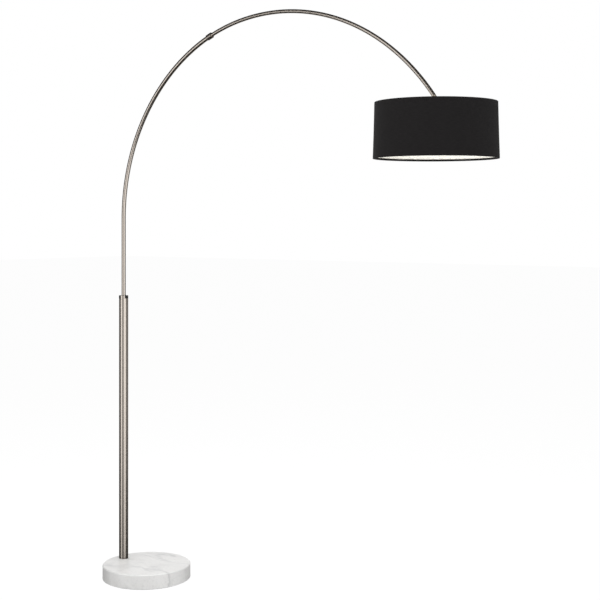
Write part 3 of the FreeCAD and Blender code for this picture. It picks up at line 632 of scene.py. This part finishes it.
def post_bush():
    """The black keyed bush: a sleeve in the post, with lugs that fill the post's slots."""
    lowest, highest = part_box("post_top_bush")
    bore = ARM_RADIUS + 0.1 * MM
    sleeve = POST_RADIUS - POST_WALL - FIXED_GAP
    proud = POST_RADIUS + 0.2 * MM
    lug_foot = highest.z - LUG_HEIGHT + FIXED_GAP
    mesh = bmesh.new()
    turns = lug_turns(0.0)
    shell_wall(mesh, turns, [lowest.z, lug_foot, highest.z], sleeve, bore, lambda lug, j: True)
    shell_wall(mesh, turns, [lug_foot, highest.z], proud, sleeve, lambda lug, j: lug)
    bush = finished("post_bush", mesh, NYLON, "base", ["post_top_bush"])
    edge_bevel(bush, 0.3 * MM)
    return bush


# ---- arm ----
def arm_tube(name, start, end, radius, body, node_name):
    """One bent tube of the arm, with softened ends."""
    soft = 0.25 * MM
    bore = radius - ARM_WALL
    corners = [(bore, start, soft), (radius, start, soft), (radius, end, soft), (bore, end, soft)]
    mesh = bmesh.new()
    carried(mesh, divided(rounded(corners, 3), 0.012), arm_place, 40)
    return finished(name, mesh, NICKEL, body, [node_name])


def lower_arm():
    return arm_tube("lower_arm", 0.0, arm_length_at(COLLAR_DEG), ARM_RADIUS, "lower_arm", "lower_arm_tube")


def upper_arm():
    start = arm_length_at(COLLAR_DEG - OVERLAP_DEG)
    end = ARM_LENGTH - TUBE_END_TO_PIVOT
    return arm_tube("upper_arm", start, end, UPPER_RADIUS, "upper_arm", "upper_arm_tube")


def collar():
    """The clamp collar: a short sleeve with bevelled ends and a lip over the nylon bush."""
    middle = arm_length_at(COLLAR_DEG)
    start, end = middle - COLLAR_LENGTH / 2, middle + COLLAR_LENGTH / 2
    outer = ARM_RADIUS + COLLAR_WALL
    bore = ARM_RADIUS + FIXED_GAP
    lip_bore = UPPER_RADIUS + 0.3 * MM
    lip = end - 2.0 * MM
    soft = 0.7 * MM
    groove = 0.35 * MM
    corners = [
        (bore, start, 0.3 * MM),
        (outer, start, soft),
        (outer, start + 3.2 * MM, 0.1 * MM),
        (outer - groove, start + 3.6 * MM, 0.1 * MM),
        (outer, start + 4.0 * MM, 0.1 * MM),
        (outer, end, soft),
        (lip_bore, end, 0.3 * MM),
        (lip_bore, lip, 0.1 * MM),
        (bore, lip, 0.1 * MM),
    ]
    mesh = bmesh.new()
    carried(mesh, divided(rounded(corners, 3), 0.004), arm_place, 48)
    return finished("collar", mesh, DARK_NICKEL, "lower_arm", ["joint_collar"])


def plate(mesh, outline, thickness, origin, across, up):
    """A flat plate from a closed outline of (across, up) points, centred on its plane."""
    normal = across.cross(up).normalized() * (thickness / 2)
    front = [mesh.verts.new(origin + across * a + up * b + normal) for a, b in outline]
    back = [mesh.verts.new(origin + across * a + up * b - normal) for a, b in outline]
    mesh.faces.new(front)
    mesh.faces.new(back[::-1])
    count = len(outline)
    for i in range(count):
        following = (i + 1) % count
        side = mesh.faces.new((front[i], back[i], back[following], front[following]))
        side.smooth = True


def ear(radius, half_width, length, steps=20):
    """The outline of an ear: a round eye about the origin, and straight sides that run down."""
    points = [(-half_width, -length), (half_width, -length)]
    start = math.asin(-math.sqrt(max(0.0, radius**2 - half_width**2)) / radius)
    for k in range(steps + 1):
        turn = start + (math.pi - 2 * start) * k / steps
        points.append((radius * math.cos(turn), radius * math.sin(turn)))
    return points


KNUCKLE_RADIUS = 8.0 * MM
FORK_HUB_RADIUS = 9.0 * MM
FORK_HUB_HEIGHT = 8.0 * MM
TONGUE = 7.0 * MM
CHEEK = 3.0 * MM
X_AXIS = Vector((1, 0, 0))
Y_AXIS = Vector((0, 1, 0))
Z_AXIS = Vector((0, 0, 1))


def arm_tongue():
    """The fitting in the arm's end: a shoulder, and a flat eye on the tilt pivot."""
    mesh = bmesh.new()
    end = ARM_LENGTH - TUBE_END_TO_PIVOT
    bore = UPPER_RADIUS - ARM_WALL - FIXED_GAP
    shoulder = end + 2.5 * MM
    plug_end = end - 15.0 * MM
    corners = [
        (0, plug_end, 0),
        (bore, plug_end, 0.5 * MM),
        (bore, end, 0),
        (UPPER_RADIUS, end, 0.2 * MM),
        (UPPER_RADIUS, shoulder, 0.8 * MM),
        (0, shoulder, 0),
    ]
    carried(mesh, rounded(corners, 3), arm_place, 40)
    base, _ = arm_frame(shoulder - 1.0 * MM)
    up = (PIVOT - base).normalized()
    across = up.cross(Y_AXIS).normalized()
    plate(mesh, ear(KNUCKLE_RADIUS, 5.5 * MM, (PIVOT - base).length), TONGUE, PIVOT, across, up)
    tongue = finished("arm_tongue", mesh, CAD_NICKEL, "upper_arm", ["arm_end_tongue"])
    edge_bevel(tongue, 0.4 * MM)
    return tongue


def tilt_knuckle():
    """The fork that carries the lamp holder: two ears on a round hub."""
    hub_foot = low("tilt_fork").z
    hub_top = hub_foot + FORK_HUB_HEIGHT
    bore = NIPPLE_RADIUS + FIXED_GAP
    mesh = bmesh.new()
    corners = [
        (bore, hub_foot, 0.2 * MM),
        (FORK_HUB_RADIUS, hub_foot, 0.8 * MM),
        (FORK_HUB_RADIUS, hub_top, 0.8 * MM),
        (bore, hub_top, 0.2 * MM),
    ]
    carried(mesh, rounded(corners, 3), upright(SHADE_X), 64)
    middle = TONGUE / 2 + LOOSE_GAP + CHEEK / 2
    drop = PIVOT.z - hub_top + 1.0 * MM
    for side in (-1, 1):
        origin = PIVOT + Y_AXIS * (side * middle)
        plate(mesh, ear(KNUCKLE_RADIUS, KNUCKLE_RADIUS, drop), CHEEK, origin, X_AXIS, Z_AXIS)
    fork = finished("tilt_knuckle", mesh, CAD_NICKEL, "shade_head", ["tilt_fork"])
    edge_bevel(fork, 0.4 * MM)
    return fork


# ---- lamp holder ----
def threaded(place, pitch, depth, radius):
    """The same place function, with a rolled thread on whatever is as far out as radius."""
    barely = 0.01 * MM

    def with_thread(r, s, turn):
        ridge = depth * math.sin(2 * math.pi * s / pitch - turn) if r >= radius - barely else 0.0
        return place(r + ridge, s, turn)

    return with_thread


def nipple():
    """The hollow threaded tube that joins the knuckle to the lamp holder."""
    foot, top = low("holder_nipple").z, high("holder_nipple").z
    depth = 0.12 * MM
    radius = NIPPLE_RADIUS - depth - 0.03 * MM
    bore = 3.5 * MM
    outline = [(bore, foot), (radius, foot), (radius, top), (bore, top)]
    mesh = bmesh.new()
    place = threaded(upright(SHADE_X), 1.0 * MM, depth, radius)
    carried(mesh, divided(outline, 0.25 * MM), place, 40)
    return finished("nipple", mesh, ZINC, "shade_head", ["holder_nipple"])


def cap_of_holder():
    """The conical cap over the lamp holder."""
    lowest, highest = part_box("holder_cap")
    rim = (highest.x - lowest.x) / 2
    crown, wall = 9.0 * MM, 1.2 * MM
    bore = NIPPLE_RADIUS + FIXED_GAP
    corners = [
        (bore, highest.z, 0.1 * MM),
        (crown, highest.z, 2.5 * MM),
        (rim, lowest.z, 0.4 * MM),
        (rim - 2 * wall, lowest.z, 0.2 * MM),
        (crown, highest.z - wall, 1.5 * MM),
        (bore, highest.z - wall, 0.1 * MM),
    ]
    mesh = bmesh.new()
    carried(mesh, rounded(corners, 6), upright(SHADE_X), 96)
    return finished("cap_of_holder", mesh, NICKEL, "shade_head", ["holder_cap"])


def shell_of_holder():
    """The moulded body with four shallow grooves, its shoulder and its skirt."""
    lowest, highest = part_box("holder_shell")
    body = (highest.x - lowest.x) / 2
    skirt = body - 1.7 * MM
    bore = skirt - 1.5 * MM
    shoulder = low("shade_spider").z + HUB_THICKNESS
    soft = 0.1 * MM
    groove_width, groove_depth, groove_pitch = 0.8 * MM, 0.5 * MM, 1.6 * MM
    corners = [(bore, highest.z, soft), (body, highest.z, 0.6 * MM)]
    for k in range(4):
        z = highest.z - 3.5 * MM - groove_pitch * k
        corners += [
            (body, z, soft),
            (body - groove_depth, z - groove_width / 2, soft),
            (body, z - groove_width, soft),
        ]
    corners += [
        (body, shoulder, 0.5 * MM),
        (skirt, shoulder, 0.2 * MM),
        (skirt, lowest.z, 0.6 * MM),
        (bore, lowest.z, 0.4 * MM),
    ]
    mesh = bmesh.new()
    carried(mesh, rounded(corners, 3), upright(SHADE_X), 96)
    return finished("shell_of_holder", mesh, PHENOLIC, "shade_head", ["holder_shell"])


def retaining_ring():
    """The ring under the spider's hub, with finger notches round its rim."""
    lowest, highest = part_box("shade_ring")
    outer = (highest.x - lowest.x) / 2
    bore = outer - SHADE_RING_WIDTH
    corners = [
        (bore, lowest.z, 0.3 * MM),
        (outer, lowest.z, 1.0 * MM),
        (outer, highest.z, 1.0 * MM),
        (bore, highest.z, 0.3 * MM),
    ]
    notches = 12
    plain = upright(SHADE_X)

    def notched(r, s, turn):
        wave = max(0.0, math.cos(turn * notches)) ** 6
        depth = 1.3 * MM * wave * max(0.0, (r - bore) / (outer - bore))
        return plain(r - depth, s, turn)

    mesh = bmesh.new()
    carried(mesh, rounded(corners, 4), notched, 240)
    return finished("retaining_ring", mesh, PHENOLIC, "shade_head", ["shade_ring"])


def knob():
    """The rotary switch's fluted knob, on the side of the lamp holder."""
    lowest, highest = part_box("switch_knob")
    radius = 6.4 * MM
    near, far = -highest.y, -lowest.y
    centre_z = (lowest.z + highest.z) / 2
    bore = 2.0 * MM + FIXED_GAP
    bore_end = near + 7.0 * MM
    flutes = 14
    flute_depth = 0.22 * MM
    flutes_from = 4.5 * MM
    corners = [
        (0, bore_end, 0),
        (bore, bore_end, 0),
        (bore, near, 0.2 * MM),
        (radius, near, 0.5 * MM),
        (radius, near + 1.5 * MM, 0.3 * MM),
        (radius - 0.8 * MM, far, 1.4 * MM),
        (0, far, 0),
    ]

    def fluted(r, s, turn):
        ridge = flute_depth * math.cos(flutes * turn) if r > flutes_from else 0.0
        return (SHADE_X + (r + ridge) * math.cos(turn), -s, centre_z + (r + ridge) * math.sin(turn))

    mesh = bmesh.new()
    carried(mesh, rounded(corners, 4), fluted, 168)
    return finished("knob", mesh, PHENOLIC, "switch", ["switch_knob"])


# ---- bulb ----
def bulb_globe():
    """The pear-shaped globe, as a thin shell that is open inside the cap."""
    lowest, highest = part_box("bulb_glass")
    ball = (highest.x - lowest.x) / 2
    neck = 12.25 * MM
    wall = 1.0 * MM
    middle = lowest.z + ball
    neck_end = highest.z - 10.0 * MM

    def side(ball_radius, neck_radius):
        """The globe's side from the neck down: a soft S to the ball, then a quarter circle."""
        points = [(neck_radius, highest.z)]
        steps = 24
        rise = (neck_end - middle) / 2
        for k in range(steps + 1):
            t = k / steps
            share = 3 * t * t * (1 - t) + t**3
            z = neck_end * (1 - t) ** 3 + (neck_end - rise) * 3 * t * (1 - t) ** 2
            z += (middle + rise) * 3 * t * t * (1 - t) + middle * t**3
            points.append((neck_radius + (ball_radius - neck_radius) * share, z))
        for k in range(1, steps + 1):
            turn = math.pi / 2 * k / steps
            points.append((ball_radius * math.cos(turn), middle - ball_radius * math.sin(turn)))
        return points

    outside = side(ball, neck)
    inside = side(ball - wall, neck - wall)
    mesh = bmesh.new()
    carried(mesh, outside + inside[::-1], upright(SHADE_X), 96)
    return finished("bulb_globe", mesh, FROSTED, "shade_head", ["bulb_glass"])


def bulb_screw_cap():
    """The bulb's rolled screw cap."""
    lowest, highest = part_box("bulb_cap")
    depth = 0.4 * MM
    radius = (highest.x - lowest.x) / 2 - depth - 0.05 * MM
    wall = 1.0 * MM
    plain_rim = 3.0 * MM
    inner_top = highest.z - 4.0 * MM
    outline = [
        (0, highest.z),
        (radius - 3.0 * MM, highest.z),
        (radius, highest.z - 2.0 * MM),
        (radius, lowest.z + plain_rim),
        (radius + depth, lowest.z),
        (radius - wall, lowest.z),
        (radius - wall, inner_top),
        (0, inner_top),
    ]
    place = threaded(upright(SHADE_X), 3.6 * MM, depth, radius)
    mesh = bmesh.new()
    carried(mesh, divided(outline, 0.45 * MM), place, 72)
    return finished("bulb_screw_cap", mesh, ALUMINIUM, "shade_head", ["bulb_cap"])


# ---- shade ----
SHADE_FOOT = low("shade_fabric").z
SHADE_TOP = high("shade_fabric").z
FOOT_RADIUS = (high("shade_fabric").x - low("shade_fabric").x) / 2
TOP_RADIUS = FOOT_RADIUS - 5.0 * MM
WIRE_INSET = CLOTH + FIXED_GAP + WIRE


def shade_radius(z):
    """The radius of the drum's outside at a height."""
    share = (z - SHADE_FOOT) / (SHADE_TOP - SHADE_FOOT)
    return FOOT_RADIUS + (TOP_RADIUS - FOOT_RADIUS) * share


def from_seam(r, turn):
    """How far round a point is from the seam at the back of the shade."""
    return abs(math.remainder(turn - math.pi, 2 * math.pi)) * r


def shade_cloth():
    """The drum's cloth: a lapped seam at the back, slight pull between the hoops, and turned hems."""
    inner_hem = 2 * WIRE_INSET
    fold = 0.9 * MM

    def at(depth, z, radius=0.35 * MM):
        return (shade_radius(z) - depth, z, radius)

    corners = [
        at(0, SHADE_FOOT, fold),
        at(0, SHADE_TOP, fold),
        at(inner_hem, SHADE_TOP, fold),
        at(inner_hem, SHADE_TOP - HEM),
        at(inner_hem - CLOTH, SHADE_TOP - HEM),
        at(inner_hem - CLOTH, SHADE_TOP - CLOTH),
        at(CLOTH, SHADE_TOP - CLOTH),
        at(CLOTH, SHADE_FOOT + CLOTH),
        at(inner_hem - CLOTH, SHADE_FOOT + CLOTH),
        at(inner_hem - CLOTH, SHADE_FOOT + HEM),
        at(inner_hem, SHADE_FOOT + HEM),
        at(inner_hem, SHADE_FOOT, fold),
    ]
    height = SHADE_TOP - SHADE_FOOT
    seam_half_width = 6.0 * MM
    seam_slope = 0.8 * MM
    seam_height = 0.35 * MM
    pull = 0.25 * MM

    def pulled(r, s, turn):
        up = min(1.0, max(0.0, (s - SHADE_FOOT) / height))
        outside = 1.0 if r > shade_radius(s) - CLOTH / 2 else 0.0
        ripple = math.sin(5 * turn + 1.3) + 0.6 * math.sin(9 * turn + 4.1) + 0.4 * math.sin(17 * turn)
        waist = -pull * math.sin(math.pi * up) * (1 + 0.5 * ripple)
        edge = min(1.0, max(0.0, (seam_half_width - from_seam(r, turn)) / seam_slope))
        radius = r + (waist + seam_height * edge) * outside
        return (SHADE_X + radius * math.cos(turn), radius * math.sin(turn), s)

    mesh = bmesh.new()
    carried(mesh, divided(rounded(corners, 3), 0.008), pulled, 512)
    cloth = finished("shade_cloth", mesh, FABRIC, "shade_head", ["shade_fabric"])
    return cloth


def shade_lining():
    """The ivory film inside the cloth, lapped at the back too."""
    foot, top = low("shade_liner").z, high("shade_liner").z
    depth = CLOTH + FIXED_GAP + 0.35 * MM
    outline = [
        (shade_radius(foot) - depth, foot),
        (shade_radius(top) - depth, top),
        (shade_radius(top) - depth - LINING_FILM, top),
        (shade_radius(foot) - depth - LINING_FILM, foot),
    ]
    seam_half_width = 5.0 * MM
    seam_slope = 0.6 * MM
    seam_height = 0.4 * MM

    def lapped(r, s, turn):
        edge = min(1.0, max(0.0, (seam_half_width - from_seam(r, turn)) / seam_slope))
        inside = r < shade_radius(s) - depth - LINING_FILM / 2
        radius = r - (seam_height * edge if inside else 0.0)
        return (SHADE_X + radius * math.cos(turn), radius * math.sin(turn), s)

    mesh = bmesh.new()
    carried(mesh, divided(outline, 0.008), lapped, 512)
    return finished("shade_lining", mesh, LINER, "shade_head", ["shade_liner"])


def hoop(mesh, z):
    """A round wire hoop inside a hem."""
    radius = shade_radius(z) - WIRE_INSET
    steps = 16
    outline = []
    for k in range(steps):
        turn = 2 * math.pi * k / steps
        outline.append((radius + WIRE * math.cos(turn), z + WIRE * math.sin(turn)))
    carried(mesh, outline, upright(SHADE_X), 192)


def shade_frame():
    """The top hoop, three wire arms and the hub, welded together."""
    mesh = bmesh.new()
    top_wire = SHADE_TOP - WIRE_INSET
    hoop(mesh, top_wire)
    hub_foot = low("shade_spider").z
    hub_bore = (high("shade_ring").x - low("shade_ring").x) / 2 - SHADE_RING_WIDTH
    hub_radius = hub_bore + HUB_WIDTH
    hub_top = hub_foot + HUB_THICKNESS
    weld_depth = 1.0 * MM
    corners = [
        (hub_bore, hub_foot, 0.3 * MM),
        (hub_radius, hub_foot, 0.8 * MM),
        (hub_radius, hub_top, 0.8 * MM),
        (hub_bore, hub_top, 0.3 * MM),
    ]
    carried(mesh, rounded(corners, 3), upright(SHADE_X), 96)
    for k in range(3):
        turn = math.pi + 2 * math.pi / 3 * k
        outward = Vector((math.cos(turn), math.sin(turn), 0))
        start = Vector((SHADE_X, 0, hub_foot + WIRE)) + outward * (hub_radius - weld_depth)
        end = Vector((SHADE_X, 0, top_wire)) + outward * (shade_radius(top_wire) - WIRE_INSET)
        length = (end - start).length
        wire = [(0, 0, 0), (WIRE, 0, 0.5 * MM), (WIRE, length, 0.5 * MM), (0, length, 0)]
        carried(mesh, rounded(wire, 3), along(start, end - start), 20)
    return finished("shade_frame", mesh, BLACK_WIRE, "shade_head", ["shade_spider"])


def foot_hoop():
    """The wire hoop inside the lower hem."""
    mesh = bmesh.new()
    hoop(mesh, SHADE_FOOT + WIRE_INSET)
    return finished("foot_hoop", mesh, BLACK_WIRE, "shade_head", ["bottom_rim_wire"])


# ---- stage, camera and light ----
# The camera is level. These place it from the post: SIDE_STEP to its right, POST_DISTANCE back.
VIEW_DEG = 37.07
EYE_HEIGHT = 1.334
POST_DISTANCE = 4.7865
SIDE_STEP = 0.6675
LENS = 75.86
LENS_DROP = 0.1337
SENSOR = 36.0


def place_camera():
    """A level camera at the photograph's viewing angle."""
    turn = math.radians(VIEW_DEG)
    right = Vector((math.cos(turn), math.sin(turn), 0))
    back = Vector((math.sin(turn), -math.cos(turn), 0))
    data = bpy.data.cameras.new("camera")
    data.sensor_width = SENSOR
    data.lens = LENS
    data.shift_y = -LENS_DROP
    data.clip_end = 100
    camera = bpy.data.objects.new("camera", data)
    camera.location = Vector((POST_X, 0, EYE_HEIGHT)) + right * SIDE_STEP + back * POST_DISTANCE
    camera.rotation_euler = (math.pi / 2, 0, turn)
    bpy.context.scene.collection.objects.link(camera)
    bpy.context.scene.camera = camera


def floor():
    """A pale glowing floor without shadows, left out of the metal's reflections."""
    data = bpy.data.meshes.new("floor")
    reach = 30.0
    corners = [(-reach, -reach, 0), (reach, -reach, 0), (reach, reach, 0), (-reach, reach, 0)]
    data.from_pydata(corners, [], [(0, 1, 2, 3)])
    plane = bpy.data.objects.new("floor", data)
    bpy.context.scene.collection.objects.link(plane)
    paint = principled("floor", (0.05, 0.05, 0.05), Roughness=0.9)
    shader = paint.node_tree.nodes["Principled BSDF"]
    shader.inputs["Specular IOR Level"].default_value = 0.0
    shader.inputs["Emission Color"].default_value = (1, 1, 1, 1)
    shader.inputs["Emission Strength"].default_value = 0.97
    data.materials.append(paint)
    plane.visible_glossy = False
    plane.visible_shadow = False


def softbox(name, from_deg, to_deg, distance, foot, top, radiance, mirrored):
    """An upright soft light, between two angles round the post counted from the camera to its right.

    It either shows only in the metal's reflections, or only lights the surfaces softly.
    """
    turn = math.radians(VIEW_DEG - 90 + (from_deg + to_deg) / 2)
    data = bpy.data.lights.new(name, "AREA")
    data.shape = "RECTANGLE"
    data.size = 2 * distance * math.tan(math.radians(to_deg - from_deg) / 2)
    data.size_y = top - foot
    data.energy = math.pi * data.size * data.size_y * radiance
    light = bpy.data.objects.new(name, data)
    middle = (foot + top) / 2
    place = Vector((POST_X + distance * math.cos(turn), distance * math.sin(turn), middle))
    light.location = place
    aim = Vector((POST_X, 0, middle)) - place
    light.rotation_euler = aim.to_track_quat("-Z", "Y").to_euler()
    light.visible_camera = False
    light.visible_glossy = mirrored
    light.visible_diffuse = not mirrored
    bpy.context.scene.collection.objects.link(light)


def overhead(width, height, radiance):
    """A large flat light above the lamp, left out of the metal's reflections."""
    data = bpy.data.lights.new("overhead", "AREA")
    data.shape = "SQUARE"
    data.size = width
    data.energy = math.pi * width * width * radiance
    light = bpy.data.objects.new("overhead", data)
    light.location = (0.4, -0.3, height)
    light.visible_camera = False
    light.visible_glossy = False
    bpy.context.scene.collection.objects.link(light)


def surroundings(seen, ambient, mirrored):
    """A white backdrop for the camera, a dim room for soft light and a dark one for reflections."""
    world = bpy.data.worlds.new("studio")
    world.use_nodes = True
    bpy.context.scene.world = world
    world.cycles.sampling_method = "NONE"
    tree = world.node_tree
    path = tree.nodes.new("ShaderNodeLightPath")
    lit = tree.nodes.new("ShaderNodeMix")
    lit.data_type = "RGBA"
    lit.inputs[MIX_A].default_value = (*ambient, 1)
    lit.inputs[MIX_B].default_value = (*mirrored, 1)
    tree.links.new(path.outputs["Is Glossy Ray"], lit.inputs[MIX_FACTOR])
    mix = tree.nodes.new("ShaderNodeMix")
    mix.data_type = "RGBA"
    mix.inputs[MIX_B].default_value = (*seen, 1)
    tree.links.new(path.outputs["Is Camera Ray"], mix.inputs[MIX_FACTOR])
    tree.links.new(lit.outputs[MIX_RESULT], mix.inputs[MIX_A])
    tree.links.new(mix.outputs[MIX_RESULT], tree.nodes["Background"].inputs["Color"])


place_camera()
repaint_cad()
marble_slab()
post()
post_bush()
lower_arm()
upper_arm()
collar()
arm_tongue()
tilt_knuckle()
nipple()
cap_of_holder()
shell_of_holder()
retaining_ring()
knob()
bulb_globe()
bulb_screw_cap()
shade_lining()
shade_frame()
foot_hoop()
shade_cloth()

floor()
surroundings((1, 1, 1), (0.2, 0.2, 0.2), (0.035, 0.033, 0.03))

# Each light that the tubes mirror: name, angles round the post, distance, foot, top, radiance.
# Below its break, each one is dimmer, because the post darkens towards its foot.
NEAR, FAR, WING = 3.6, 6.0, 4.0
NEAR_FOOT, NEAR_BREAK = -1.15, -0.35
FAR_FOOT, FAR_BREAK = -1.9, -0.85
MIRRORED_LIGHTS = [
    ("left_wing", -125, -69, WING, -0.4, 1.4, 0.15),
    ("left_strip", -64, -38, NEAR, NEAR_BREAK, 3.2, 1.45),
    ("left_foot", -64, -38, NEAR, NEAR_FOOT, NEAR_BREAK, 1.0),
    ("high_left", -52, -20, NEAR, 3.4, 5.6, 1.2),
    ("front", -37, 12, FAR, FAR_BREAK, 3.2, 0.52),
    ("front_foot", -37, 12, FAR, FAR_FOOT, FAR_BREAK, 0.2),
    ("right_box", 13, 64, NEAR, NEAR_BREAK, 3.4, 1.38),
    ("right_foot", 13, 58, NEAR, NEAR_FOOT, NEAR_BREAK, 0.9),
    ("right_wing", 65, 125, WING, -0.4, 1.6, 0.28),
    ("behind", 148, 212, WING, NEAR_FOOT, 2.6, 0.8),
]
for values in MIRRORED_LIGHTS:
    softbox(*values, mirrored=True)
softbox("front_fill", -22, 48, 4.6, 0.3, 3.2, 1.15, mirrored=False)
overhead(3.4, 3.4, 3.6)
bpy.context.scene.view_settings.view_transform = "Standard"
